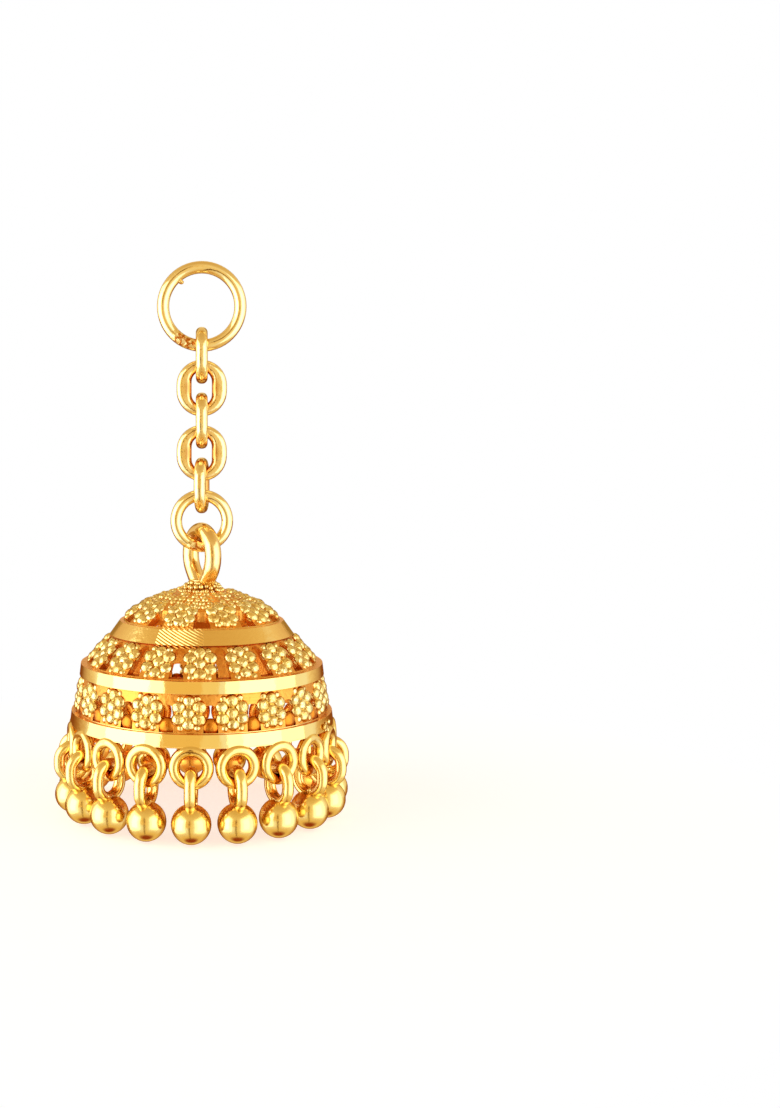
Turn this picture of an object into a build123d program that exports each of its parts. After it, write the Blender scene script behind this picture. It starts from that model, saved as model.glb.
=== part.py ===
"""A jhumka earring: a short link chain carrying a domed bell fringed with nineteen ball drops.

Lengths are in millimetres and angles in degrees. The origin is the inside top of the top ring,
where the earring hangs. +Z is up and -Y is the front. Azimuths round the bell start at the
front and grow towards +X.
"""
import math
import os

from build123d import *

# The wire ring that the earring hangs from, standing in the XZ plane.
TOP_RING_WIRE = 0.85
TOP_RING_HOLE_R = 2.25

# Five cast chain links: flat ovals with rounded edges, each turned against the one above.
LINK_TURNS = [90, 0, 90, 0, 84]
LINK_WIDTH = 3.5
LINK_HEIGHT = 3.9
LINK_THICK = 0.82
LINK_HOLE_WIDTH = 1.4
LINK_END = 0.8
LINK_ROUND = 0.37
PLAY = 0.05

# The round jump ring under the last link, standing in the XZ plane.
JUMP_RING_WIRE = 0.82
JUMP_RING_HOLE_R = 1.38

# The bail: a teardrop loop of thick wire soldered to the top of the bell.
BAIL_WIRE = 1.15
BAIL_BEND_R = 1.72
BAIL_TURN = 27
BAIL_FOOT_DROP = 2.7
BAIL_PLAY = 0.12

# The bell's outline, each point a radius from its axis and a height. The bands stand proud of the tiers.
APEX_Z = -21.2
CONE_TOP_R = 0.8
CONE_WAIST = (1.125, -21.71)
CONE_FOOT = (1.75, -21.98)
CROWN_MIDDLE = (3.95, -22.84)
CROWN_FOOT = (5.5, -24.0)
BAND_1 = {"top": (5.76, -24.0), "foot": (6.44, -24.95)}
BAND_2 = {"top": (8.5, -26.96), "foot": (8.6, -27.76)}
BAND_3 = {"top": (9.18, -30.27), "foot": (9.29, -31.14)}
TIER_2 = {"top": (6.3, -24.95), "foot": (8.05, -26.96)}
TIER_3 = {"top": (8.35, -27.76), "foot": (8.84, -30.27)}

# The bell's wall, and the deeper lip left behind band 3 at the rim.
WALL = 0.5
RIM_LIP = 0.75

# Openings between the granulated flowers: how many, the azimuth of the first, and their size.
CROWN_HOLES = {"count": 10, "first": 0, "top_width": 0.8, "foot_width": 1.2}
CROWN_HOLES |= {"inner_r": 4.2, "outer_r": 5.42}
TIER_2_HOLES = {"count": 16, "first": 10.3, "top_width": 0.66, "foot_width": 1.0}
TIER_2_HOLES |= {"top_z": -25.1, "foot_z": -26.9}
TIER_3_HOLES = {"count": 19, "first": 3.8, "top_width": 0.84, "foot_width": 0.96}
TIER_3_HOLES |= {"top_z": -28.5, "foot_z": -30.22}
HOLE_CORNER_R = 0.34

# Rings soldered side by side under the rim, one for each drop.
DROP_COUNT = 19
FIRST_DROP = -4.3
RIM_RING_CIRCLE_R = 9.1
RIM_RING_WIRE = 0.74
RIM_RING_BEND_R = 1.1
RIM_RING_SUNK = 0.2

# Each drop: a ball soldered to an upright wire eye that hangs in its rim ring.
EYE_WIRE = 0.77
EYE_BEND_R = 0.98
EYE_STRAIGHT = 0.3
BALL_D = 2.62
BALL_CENTRE_Z = -36.1
EYE_PLAY = 0.05


def ring(bend_r, wire):
    """A round wire ring standing in the XZ plane, centred on the origin."""
    return Rot(90, 0, 0) * Torus(bend_r, wire / 2)


def chain_link():
    """One chain link standing in the XZ plane, centred on the origin."""
    hole_height = LINK_HEIGHT - 2 * LINK_END
    outside = SlotOverall(LINK_HEIGHT, LINK_WIDTH, rotation=90)
    inside = SlotOverall(hole_height, LINK_HOLE_WIDTH, rotation=90)
    plate = extrude(outside - inside, LINK_THICK / 2, both=True)
    return Rot(90, 0, 0) * fillet(plate.edges(), LINK_ROUND)


def bail(bend_z, foot_z):
    """The teardrop loop, with its legs running together into the solder cone."""
    reach = bend_z - foot_z
    lean = math.asin(BAIL_BEND_R / reach)
    top = (0, bend_z + BAIL_BEND_R)
    side = (BAIL_BEND_R * math.cos(lean / 2), bend_z + BAIL_BEND_R * math.sin(lean / 2))
    tangent = (BAIL_BEND_R * math.cos(lean), bend_z - BAIL_BEND_R * math.sin(lean))
    upright = Plane.XZ
    path = upright * (ThreePointArc(top, side, tangent) + Line(tangent, (0, foot_z)))
    start = Plane(origin=path @ 0, z_dir=path % 0)
    half = sweep(start * Circle(BAIL_WIRE / 2), path=path)
    return Rot(0, 0, BAIL_TURN - 90) * (half + mirror(half, Plane.YZ))


def inward(point, across, down):
    """The outline's point moved towards the axis and down, on to the inside of the wall."""
    return point[0] - across, point[1] - down


def bell_shell():
    """The turned shell: solder cone, crown, two tiers and three raised bands."""
    inside_shoulder = inward(CONE_FOOT, 0.4 * WALL, WALL)
    inside_crown = inward(CROWN_MIDDLE, 0.6 * WALL, WALL)
    inside_crown_foot = inward(CROWN_FOOT, WALL, 0.4 * WALL)
    outline = Line((0, APEX_Z), (CONE_TOP_R, APEX_Z))
    outline += ThreePointArc((CONE_TOP_R, APEX_Z), CONE_WAIST, CONE_FOOT)
    outline += ThreePointArc(CONE_FOOT, CROWN_MIDDLE, CROWN_FOOT)
    outline += Polyline(
        CROWN_FOOT, BAND_1["top"], BAND_1["foot"],
        TIER_2["top"], TIER_2["foot"], BAND_2["top"], BAND_2["foot"],
        TIER_3["top"], TIER_3["foot"], BAND_3["top"], BAND_3["foot"],
        inward(BAND_3["foot"], RIM_LIP, 0),
        inward(TIER_3["foot"], WALL, 0), inward(TIER_3["top"], WALL, 0),
        inward(TIER_2["foot"], WALL, WALL / 2), inward(TIER_2["top"], WALL, WALL / 2),
        inside_crown_foot,
    )
    outline += ThreePointArc(inside_crown_foot, inside_crown, inside_shoulder)
    outline += Polyline(inside_shoulder, (0, inside_shoulder[1]), (0, APEX_Z))
    profile = make_face(Plane.XZ * outline)
    return revolve(profile, Axis.Z)


def around(shape, count, first):
    """Copies of a shape made at the front, evenly spaced round the bell's axis."""
    return [Rot(0, 0, first + 360 * i / count) * shape for i in range(count)]


def window(holes, top, foot):
    """The face of one opening: straight sides that part towards its foot, and a rounded top."""
    half_top = holes["top_width"] / 2
    half_foot = holes["foot_width"] / 2
    corners = (-half_foot, foot), (-half_top, top), (half_top, top), (half_foot, foot)
    face = make_face(Polyline(*corners, close=True))
    return fillet(face.vertices().sort_by(Axis.Y)[-2:], HOLE_CORNER_R)


def crown_hole(holes):
    """A cutter for one opening at the crown's foot, standing on end."""
    depth = CROWN_FOOT[1] - 2 * WALL
    return Pos(0, 0, depth) * extrude(window(holes, -holes["inner_r"], -holes["outer_r"]), APEX_Z - depth)


def tier_hole(holes, tier, band):
    """A cutter for one window through a tier, pointing outwards to just past the band below it."""
    inner_r = tier["top"][0] - 2 * WALL
    outer_r = band["foot"][0] + WALL
    face = Plane.XZ * window(holes, holes["top_z"], holes["foot_z"])
    return Pos(0, -inner_r, 0) * extrude(face, outer_r - inner_r)


def bell(bail_bend_z, rim_ring_z):
    """The whole soldered bell, with its bail above and its rim rings below."""
    shell = bell_shell()
    shell -= around(crown_hole(CROWN_HOLES), CROWN_HOLES["count"], CROWN_HOLES["first"])
    tier_2_hole = tier_hole(TIER_2_HOLES, TIER_2, BAND_2)
    shell -= around(tier_2_hole, TIER_2_HOLES["count"], TIER_2_HOLES["first"])
    tier_3_hole = tier_hole(TIER_3_HOLES, TIER_3, BAND_3)
    shell -= around(tier_3_hole, TIER_3_HOLES["count"], TIER_3_HOLES["first"])
    rim_ring = Pos(0, -RIM_RING_CIRCLE_R, rim_ring_z) * ring(RIM_RING_BEND_R, RIM_RING_WIRE)
    shell += around(rim_ring, DROP_COUNT, FIRST_DROP)
    return shell + bail(bail_bend_z, bail_bend_z - BAIL_FOOT_DROP)


def ball_drop(eye_top_z):
    """A ball and its eye, standing at the front of the bell in the YZ plane."""
    top_bend_z = eye_top_z - EYE_BEND_R
    foot_bend_z = top_bend_z - EYE_STRAIGHT
    upper = Pos(0, 0, top_bend_z) * half_bend()
    lower = Pos(0, 0, foot_bend_z) * Rot(180, 0, 0) * half_bend()
    leg = Pos(0, EYE_BEND_R, foot_bend_z) * extrude(Circle(EYE_WIRE / 2), EYE_STRAIGHT)
    eye = upper + lower + leg + mirror(leg, Plane.XZ)
    ball = Pos(0, 0, BALL_CENTRE_Z) * Sphere(BALL_D / 2)
    return Pos(0, -RIM_RING_CIRCLE_R, 0) * (eye + ball)


def half_bend():
    """Half of a wire ring, arching over the origin in the YZ plane."""
    section = Pos(0, EYE_BEND_R, 0) * Circle(EYE_WIRE / 2)
    return revolve(section, Axis.X, 180)


def save(shape, name):
    """Writes one node."""
    solids = shape.solids()
    assert len(solids) == 1, (name, len(solids))
    export_step(solids[0], f"parts/{name}.step")


os.makedirs("parts", exist_ok=True)

# Heights worked out from the top down, each piece hanging in the one above.
top_ring_bend_r = TOP_RING_HOLE_R + TOP_RING_WIRE / 2
top_ring_z = -TOP_RING_HOLE_R
save(Pos(0, 0, top_ring_z) * ring(top_ring_bend_r, TOP_RING_WIRE), "top_ring")

carrier_z = top_ring_z - TOP_RING_HOLE_R
for number, turn in enumerate(LINK_TURNS, start=1):
    link_top_z = carrier_z + PLAY + LINK_END
    placed = Pos(0, 0, link_top_z - LINK_HEIGHT / 2) * Rot(0, 0, turn) * chain_link()
    save(placed, f"chain_link_{number}")
    carrier_z = link_top_z - LINK_HEIGHT + LINK_END

jump_ring_z = carrier_z + PLAY - JUMP_RING_HOLE_R
jump_ring_bend_r = JUMP_RING_HOLE_R + JUMP_RING_WIRE / 2
save(Pos(0, 0, jump_ring_z) * ring(jump_ring_bend_r, JUMP_RING_WIRE), "jump_ring")
print("jump ring swings about z", round(carrier_z - LINK_END / 2, 3))
print("bell swings about z", round(jump_ring_z - jump_ring_bend_r, 3))

bail_inside_z = jump_ring_z - JUMP_RING_HOLE_R + BAIL_PLAY
bail_bend_z = bail_inside_z + BAIL_WIRE / 2 - BAIL_BEND_R
rim_ring_z = BAND_3["foot"][1] + RIM_RING_SUNK - RIM_RING_BEND_R - RIM_RING_WIRE / 2
save(bell(bail_bend_z, rim_ring_z), "bell")

rim_ring_inside_z = rim_ring_z - RIM_RING_BEND_R + RIM_RING_WIRE / 2
eye_top_z = rim_ring_inside_z + EYE_PLAY + EYE_WIRE / 2
for number, drop in enumerate(around(ball_drop(eye_top_z), DROP_COUNT, FIRST_DROP), start=1):
    save(drop, f"drop_{number:02d}")
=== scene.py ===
"""A jhumka earring, taken as 22 carat gold: top ring, chain, jump ring, bell and ball drops."""
import math

import bpy
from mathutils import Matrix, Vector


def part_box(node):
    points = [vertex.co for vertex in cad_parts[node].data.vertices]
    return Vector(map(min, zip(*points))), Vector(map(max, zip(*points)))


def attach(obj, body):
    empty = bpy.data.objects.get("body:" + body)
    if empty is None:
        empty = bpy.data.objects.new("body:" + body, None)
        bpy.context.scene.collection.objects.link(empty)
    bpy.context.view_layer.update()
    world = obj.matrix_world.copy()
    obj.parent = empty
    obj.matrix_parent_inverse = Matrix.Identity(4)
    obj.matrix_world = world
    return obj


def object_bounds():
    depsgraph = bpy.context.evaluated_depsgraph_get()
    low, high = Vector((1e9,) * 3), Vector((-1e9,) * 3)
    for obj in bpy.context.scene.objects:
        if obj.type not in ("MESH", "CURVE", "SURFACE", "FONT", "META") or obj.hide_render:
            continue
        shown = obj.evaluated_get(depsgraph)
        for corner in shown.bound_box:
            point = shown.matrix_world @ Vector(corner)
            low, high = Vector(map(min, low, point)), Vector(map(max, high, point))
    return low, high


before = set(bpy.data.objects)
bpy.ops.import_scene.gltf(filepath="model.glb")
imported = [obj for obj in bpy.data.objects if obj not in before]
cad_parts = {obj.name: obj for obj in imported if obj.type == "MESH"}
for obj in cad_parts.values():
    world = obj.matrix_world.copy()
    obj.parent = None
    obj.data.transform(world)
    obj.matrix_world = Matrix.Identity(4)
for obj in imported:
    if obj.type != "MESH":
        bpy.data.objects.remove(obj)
cad_low, cad_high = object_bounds()


# ---------------------------------------------------------------------------------------------
# Where the earring is looked at from: a hand's breadth in front of it, level with its chain and
# looking slightly down, with the earring in the left half of the frame.

MM = 0.001
EYE_DISTANCE = 91 * MM
EYE_HEIGHT = -11.93 * MM
EYE_PITCH = 4.70
LENS = 42.27
SIDE_SHIFT = 0.1699

bpy.context.scene.view_settings.view_transform = "Standard"
camera_data = bpy.data.cameras.new("camera")
camera_data.lens = LENS
camera_data.shift_x = SIDE_SHIFT
camera_data.clip_start = MM
camera = bpy.data.objects.new("camera", camera_data)
camera.location = (0, -EYE_DISTANCE, EYE_HEIGHT)
camera.rotation_euler = (math.radians(90 - EYE_PITCH), 0, 0)
bpy.context.scene.collection.objects.link(camera)
bpy.context.scene.camera = camera


# ---------------------------------------------------------------------------------------------
# The light. The earring hangs in a white tent lit through its sides by tall soft boxes. The front
# stands open, and there the gold shows straw board. Behind it hangs a brown flag on either side.

BELL_MIDDLE_Z = -29 * MM
BOX_DISTANCE = 0.24
TENT_WHITE = "#FFFFFF"
STRAW_BOARD = "#F7D190"
PALE_BOARD = "#FCE6B8"
CEILING_TAN = "#F8E0B0"
CEILING_FAR = "#DDB87C"
FLAG_BROWN = "#A8803C"
FLAG_EDGE = "#E8C48A"
WALL_EDGE = "#FCE8C4"


def linear(hex_colour):
    """An sRGB hex colour as linear red, green, blue and alpha."""
    parts = [int(hex_colour[i:i + 2], 16) / 255 for i in (1, 3, 5)]
    return [p / 12.92 if p <= 0.04045 else ((p + 0.055) / 1.055) ** 2.4 for p in parts] + [1]


def hang_light(name, turn, rise, width, height, radiance, colour):
    """A soft box facing the bell. turn is its angle from the front towards +X, rise its angle up,
    and width and height are the angles that it fills."""
    box = bpy.data.lights.new(name, "AREA")
    box.shape = "RECTANGLE"
    box.size = 2 * BOX_DISTANCE * math.tan(math.radians(width / 2))
    box.size_y = 2 * BOX_DISTANCE * math.tan(math.radians(height / 2))
    box.energy = radiance * math.pi * box.size * box.size_y
    box.color = linear(colour)[:3]
    holder = bpy.data.objects.new(name, box)
    around, up = math.radians(turn), math.radians(rise)
    flat = BOX_DISTANCE * math.cos(up)
    place = (flat * math.sin(around), -flat * math.cos(around), BOX_DISTANCE * math.sin(up))
    holder.location = (place[0], place[1], place[2] + BELL_MIDDLE_Z)
    holder.rotation_euler = (math.radians(90) - up, 0, around)
    holder.visible_camera = False
    bpy.context.scene.collection.objects.link(holder)


hang_light("left_soft_box", -73, 1, 78, 78, 1.1, TENT_WHITE)
hang_light("left_lamp", -68, 2, 40, 52, 1.1, TENT_WHITE)
hang_light("right_soft_box", 58, 1, 74, 78, 0.8, TENT_WHITE)
hang_light("right_lamp", 52, 2, 36, 52, 0.6, TENT_WHITE)


def add(tree, kind, links=None, **settings):
    """Adds a node, sets its settings, and feeds its inputs from values or other nodes' outputs."""
    node = tree.nodes.new(kind)
    for name, value in settings.items():
        setattr(node, name, value)
    for name, value in (links or {}).items():
        if isinstance(value, bpy.types.NodeSocket):
            tree.links.new(value, node.inputs[name])
        else:
            node.inputs[name].default_value = value
    return node


def fill_ramp(ramp, stops):
    """Gives a colour ramp these stops, each a position from 0 to 1 and a colour."""
    while len(ramp.elements) > 1:
        ramp.elements.remove(ramp.elements[-1])
    ramp.elements[0].position, ramp.elements[0].color = stops[0]
    for position, colour in stops[1:]:
        ramp.elements.new(position).color = colour


# What the gold sees of the tent, by the angle round from the front towards +X.
world = bpy.data.worlds.new("tent")
bpy.context.scene.world = world
world.use_nodes = True
tent = world.node_tree
tent.nodes.clear()
direction = add(tent, "ShaderNodeTexCoord").outputs["Generated"]
part = add(tent, "ShaderNodeSeparateXYZ", {0: direction}).outputs
front = add(tent, "ShaderNodeMath", {0: part["Y"], 1: -1.0}, operation="MULTIPLY").outputs[0]
turn = add(tent, "ShaderNodeMath", {0: part["X"], 1: front}, operation="ARCTAN2").outputs[0]
round_the_tent = add(tent, "ShaderNodeMapRange",
                     {"Value": turn, "From Min": -math.pi, "From Max": math.pi}).outputs[0]
walls = add(tent, "ShaderNodeValToRGB", {0: round_the_tent})
seen_walls = [
    (-180, CEILING_TAN), (-173, CEILING_TAN), (-170, FLAG_BROWN), (-154, FLAG_BROWN),
    (-147, FLAG_EDGE), (-120, WALL_EDGE), (-112, TENT_WHITE), (-35, TENT_WHITE),
    (-33.5, STRAW_BOARD), (-1, STRAW_BOARD), (1, PALE_BOARD), (14, PALE_BOARD), (17, TENT_WHITE),
    (112, TENT_WHITE), (120, WALL_EDGE), (147, FLAG_EDGE), (154, FLAG_BROWN), (170, FLAG_BROWN),
    (173, CEILING_TAN),
]
fill_ramp(walls.color_ramp, [((angle + 180) / 360, linear(colour)) for angle, colour in seen_walls])

# Lower down there is white board all round, and the earring's own shade towards the back. These
# heights are those of a direction: 0 is level, 1 straight up and -1 straight down.
BACK_SHADE = "#8E4C1A"
SHADE_EDGE = "#D09A50"
FLOOR_STRAW = "#EFCB8C"
WALLS_END, BOARD_STARTS = -0.05, -0.13
BOARD_ENDS, FLOOR_STARTS = -0.45, -0.85
lower = add(tent, "ShaderNodeValToRGB", {0: round_the_tent})
seen_lower = [
    (-180, BACK_SHADE), (-150, BACK_SHADE), (-118, SHADE_EDGE), (-108, TENT_WHITE),
    (-22, TENT_WHITE), (-18, PALE_BOARD), (12, PALE_BOARD), (16, TENT_WHITE), (108, TENT_WHITE),
    (118, SHADE_EDGE), (150, BACK_SHADE),
]
fill_ramp(lower.color_ramp, [((angle + 180) / 360, linear(colour)) for angle, colour in seen_lower])
down = add(tent, "ShaderNodeMapRange",
           {"Value": part["Z"], "From Min": WALLS_END, "From Max": BOARD_STARTS}).outputs[0]
sides = add(tent, "ShaderNodeMix", {0: down, 6: walls.outputs[0], 7: lower.outputs[0]},
            data_type="RGBA").outputs[2]
beneath = add(tent, "ShaderNodeMapRange",
              {"Value": part["Z"], "From Min": BOARD_ENDS, "From Max": FLOOR_STARTS}).outputs[0]
with_floor = add(tent, "ShaderNodeMix", {0: beneath, 6: sides, 7: linear(FLOOR_STRAW)},
                 data_type="RGBA").outputs[2]

# Straight below, the earring sees its own shade on the floor.
OWN_SHADE = "#963A14"
SHADE_STARTS, SHADE_FULL = -0.89, -0.97
shaded = add(tent, "ShaderNodeMapRange",
             {"Value": part["Z"], "From Min": SHADE_STARTS, "From Max": SHADE_FULL}).outputs[0]
with_shade = add(tent, "ShaderNodeMix", {0: shaded, 6: with_floor, 7: linear(OWN_SHADE)},
                 data_type="RGBA").outputs[2]

# A dark slit in the tent's open front. The straw board hangs across it, so the gold shows the slit
# only above and below the board.
SLIT_BROWN = "#7E5420"
SLIT_TURN, SLIT_HALF_WIDTH = math.radians(-10), math.radians(4)
BOARD_RISE, BOARD_HALF_HEIGHT = 0.055, 0.06
in_slit = add(tent, "ShaderNodeMath", {0: turn, 1: SLIT_TURN, 2: SLIT_HALF_WIDTH},
              operation="COMPARE").outputs[0]
at_board = add(tent, "ShaderNodeMath", {0: part["Z"], 1: BOARD_RISE, 2: BOARD_HALF_HEIGHT},
               operation="COMPARE").outputs[0]
past_board = add(tent, "ShaderNodeMath", {0: 1.0, 1: at_board}, operation="SUBTRACT").outputs[0]
slit = add(tent, "ShaderNodeMath", {0: in_slit, 1: past_board}, operation="MULTIPLY").outputs[0]
slitted = add(tent, "ShaderNodeMix", {0: slit, 6: with_shade, 7: linear(SLIT_BROWN)},
              data_type="RGBA").outputs[2]

# And by height: the ceiling is tan, darker straight above.
CEILING_STARTS, CEILING_FULL = 0.46, 0.62
ceiling = add(tent, "ShaderNodeValToRGB", {0: part["Z"]})
fill_ramp(ceiling.color_ramp, [(0.5, linear(CEILING_TAN)), (0.97, linear(CEILING_FAR))])
up = add(tent, "ShaderNodeMapRange",
         {"Value": part["Z"], "From Min": CEILING_STARTS, "From Max": CEILING_FULL}).outputs[0]
seen = add(tent, "ShaderNodeMix", {0: up, 6: slitted, 7: ceiling.outputs[0]},
           data_type="RGBA").outputs[2]

# To the eye and through glass the tent is plain white, and it lights dull things a soft grey.
TENT_FILL = "#A8A8A8"
rays = add(tent, "ShaderNodeLightPath").outputs
straight = add(tent, "ShaderNodeMath", {0: rays["Is Camera Ray"], 1: rays["Is Transmission Ray"]},
               operation="MAXIMUM").outputs[0]
gloss = add(tent, "ShaderNodeMix", {0: rays["Is Glossy Ray"], 6: linear(TENT_FILL), 7: seen},
            data_type="RGBA").outputs[2]
shown = add(tent, "ShaderNodeMix", {0: straight, 6: gloss, 7: linear(TENT_WHITE)},
            data_type="RGBA").outputs[2]
background = add(tent, "ShaderNodeBackground", {"Color": shown, "Strength": 1.0})
add(tent, "ShaderNodeOutputWorld", {"Surface": background.outputs[0]})


# ---------------------------------------------------------------------------------------------
# The floor: a sheet of white board that the lowest balls all but touch. It keeps their soft
# warm shadow and runs out to white.

FLOOR_GAP = 0.15 * MM
FLOOR_HALF = 1.5
BOARD_GREY = "#B9BEC2"
BOARD_GLOW = "#FFF1E4"
GLOW_STRENGTH = 0.83
WHITE_FROM, WHITE_TO = 18 * MM, 45 * MM
bpy.ops.mesh.primitive_plane_add(size=2 * FLOOR_HALF, location=(0, 0, cad_low.z - FLOOR_GAP))
floor = bpy.context.object
floor.name = "floor"
board = bpy.data.materials.new("white_board")
board.use_nodes = True
tree = board.node_tree
tree.nodes.clear()
rays = add(tree, "ShaderNodeLightPath").outputs
looked_at = add(tree, "ShaderNodeMath", {0: rays["Is Camera Ray"], 1: rays["Is Transmission Ray"]},
                operation="MAXIMUM").outputs[0]
glow_strength = add(tree, "ShaderNodeMath", {0: looked_at, 1: GLOW_STRENGTH},
                    operation="MULTIPLY").outputs[0]
paper = add(tree, "ShaderNodeBsdfDiffuse", {"Color": linear(BOARD_GREY)})
glow = add(tree, "ShaderNodeEmission", {"Color": linear(BOARD_GLOW), "Strength": glow_strength})
near = add(tree, "ShaderNodeAddShader", {0: paper.outputs[0], 1: glow.outputs[0]})
place = add(tree, "ShaderNodeTexCoord").outputs["Object"]
away = add(tree, "ShaderNodeVectorMath", {0: place}, operation="LENGTH").outputs["Value"]
runs_out = add(tree, "ShaderNodeMapRange",
               {"Value": away, "From Min": WHITE_FROM, "From Max": WHITE_TO}).outputs[0]
far_share = add(tree, "ShaderNodeMath", {0: runs_out, 1: looked_at},
                operation="MULTIPLY").outputs[0]
far = add(tree, "ShaderNodeEmission", {"Color": linear(TENT_WHITE), "Strength": 1.0})
sheet = add(tree, "ShaderNodeMixShader", {0: far_share, 1: near.outputs[0], 2: far.outputs[0]})
add(tree, "ShaderNodeOutputMaterial", {"Surface": sheet.outputs[0]})
floor.data.materials.append(board)
floor.visible_glossy = False


# ---------------------------------------------------------------------------------------------
# The top ring and the jump ring: gold wire, drawn, bent round, soldered shut and polished. The
# top ring's joint still shows, and each ring has a rough, reddish patch where solder ran.

WIRE_GOLD = "#F7DF9C"
# A reddish gold: the colour of solder and of rouge. Where it is mixed into corners, it is also
# painted shade.
ROUGE = "#C4701F"
TOP_RING_JOINT, TOP_RING_SOLDER = math.radians(129), math.radians(245)
JUMP_RING_JOINT, JUMP_RING_SOLDER = math.radians(75), math.radians(262)
# In radians round the ring: half a seam, and where the solder ends and is thickest.
SEAM_HALF = 0.03
SOLDER_END, SOLDER_FULL = 0.42, 0.26


def gold(name):
    """A new gold, still without its colour and polish. Returns its material, tree and shader."""
    material = bpy.data.materials.new(name)
    material.use_nodes = True
    shader = material.node_tree.nodes["Principled BSDF"]
    shader.inputs["Metallic"].default_value = 1.0
    return material, material.node_tree, shader


def paint(node_name, material):
    """Gives a CAD node its finish."""
    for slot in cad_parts[node_name].material_slots:
        slot.material = material


def wire_gold(name, centre_z, joint, solder):
    """Drawn gold wire: bright, its highlights drawn out along the bend by faint draw lines, with a
    seam at its joint and a grainy, reddish patch where solder ran."""
    material, tree, shader = gold(name)
    place = add(tree, "ShaderNodeTexCoord").outputs["Object"]
    in_mm = add(tree, "ShaderNodeMapping", {"Vector": place, "Location": (0, 0, -centre_z / MM),
                                            "Scale": (1 / MM,) * 3}).outputs[0]
    part = add(tree, "ShaderNodeSeparateXYZ", {0: in_mm}).outputs
    turn = add(tree, "ShaderNodeMath", {0: part["Z"], 1: part["X"]}, operation="ARCTAN2").outputs[0]
    flat = add(tree, "ShaderNodeVectorMath", {0: in_mm, 1: (1, 0, 1)},
               operation="MULTIPLY").outputs[0]
    reach = add(tree, "ShaderNodeVectorMath", {0: flat}, operation="LENGTH").outputs["Value"]
    along = add(tree, "ShaderNodeCombineXYZ", {"X": turn, "Y": reach, "Z": part["Y"]}).outputs[0]

    # Draw lines are about 0.01 mm apart and are drawn ten times as coarse, so that they show.
    lines = add(tree, "ShaderNodeTexNoise",
                {"Vector": along, "Scale": 9.0, "Detail": 4.0}).outputs["Fac"]
    rough = add(tree, "ShaderNodeMapRange", {"Value": lines, "To Min": 0.04, "To Max": 0.17})
    tree.links.new(rough.outputs[0], shader.inputs["Roughness"])

    # Bending the wire leaves shallow dents, a little under 1 mm apart.
    dents = add(tree, "ShaderNodeTexNoise",
                {"Vector": in_mm, "Scale": 1.3, "Detail": 2.0}).outputs["Fac"]
    bend = add(tree, "ShaderNodeBump",
               {"Strength": 0.4, "Distance": 0.03 * MM, "Height": dents}).outputs[0]

    # The angle from the joint and from the solder's middle, in radians. The solder's grit is about
    # 0.2 mm across.
    from_joint = add(tree, "ShaderNodeMath", {0: turn, 1: joint}, operation="SUBTRACT").outputs[0]
    seam = add(tree, "ShaderNodeMath", {0: from_joint, 1: 0.0, 2: SEAM_HALF},
               operation="COMPARE").outputs[0]
    from_solder = add(tree, "ShaderNodeMath", {0: turn, 1: solder - 2 * math.pi},
                      operation="SUBTRACT").outputs[0]
    off_solder = add(tree, "ShaderNodeMath", {0: from_solder}, operation="ABSOLUTE").outputs[0]
    patch = add(tree, "ShaderNodeMapRange",
                {"Value": off_solder, "From Min": SOLDER_END, "From Max": SOLDER_FULL})
    grit = add(tree, "ShaderNodeTexNoise",
               {"Vector": in_mm, "Scale": 4.5, "Detail": 4.0}).outputs["Fac"]
    spill = add(tree, "ShaderNodeMath", {0: grit, 1: patch.outputs[0]},
                operation="MULTIPLY").outputs[0]
    relief = add(tree, "ShaderNodeMath", {0: spill, 1: seam}, operation="ADD").outputs[0]
    marks = add(tree, "ShaderNodeBump",
                {"Strength": 0.9, "Distance": 0.09 * MM, "Height": relief, "Normal": bend})
    tree.links.new(marks.outputs[0], shader.inputs["Normal"])
    pits = add(tree, "ShaderNodeMapRange",
               {"Value": spill, "From Min": 0.46, "From Max": 0.56}).outputs[0]
    colour = add(tree, "ShaderNodeMix", {0: pits, 6: linear(WIRE_GOLD), 7: linear(ROUGE)},
                 data_type="RGBA").outputs[2]
    tree.links.new(colour, shader.inputs["Base Color"])
    return material


low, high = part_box("top_ring")
paint("top_ring",
      wire_gold("drawn_gold_wire", (low.z + high.z) / 2, TOP_RING_JOINT, TOP_RING_SOLDER))
low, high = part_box("jump_ring")
paint("jump_ring",
      wire_gold("drawn_gold_jump_ring", (low.z + high.z) / 2, JUMP_RING_JOINT, JUMP_RING_SOLDER))


# ---------------------------------------------------------------------------------------------
# The chain: five cast oval links, tumbled bright, each turned against the next. Each link's inner
# edge and the corners between links are painted a deeper gold, as painted shade.

# The deep gold round a link's hole and in its corners is painted shade.
LINK_DEEP = "#DC9A50"
# How far from the link's middle, in mm, its gold turns from bright to painted shade.
LINK_BRIGHT, HOLE_EDGE = 1.32, 1.0


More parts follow.
